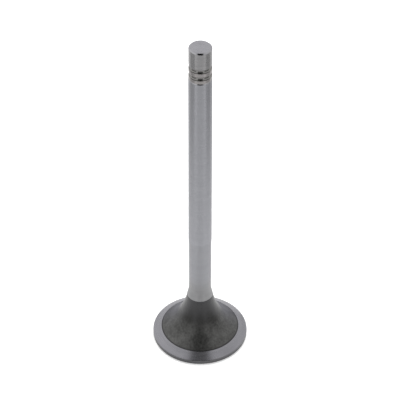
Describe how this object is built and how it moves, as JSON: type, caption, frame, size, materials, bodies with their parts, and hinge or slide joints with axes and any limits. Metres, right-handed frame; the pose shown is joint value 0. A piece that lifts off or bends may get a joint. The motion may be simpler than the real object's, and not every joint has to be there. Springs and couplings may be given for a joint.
{
  "type": "engine valve",
  "caption": "Poppet valve with a disc head, ground conical seat, flared neck and long round stem ending in keeper grooves; it slides in a guide to open and close an engine port.",
  "frame": {"origin": "centre of the head's flat face, which the valve stands on", "axes": "+Z along the stem's axis, from the head towards the tip"},
  "size_m": [0.037, 0.037, 0.1435],
  "materials": {
    "valve_steel": "ground stem, tip and seat, turned neck and face, dark as-forged fillet under the head"
  },
  "bodies": {
    "root": {"valve": "valve_steel"}
  },
  "joints": []
}
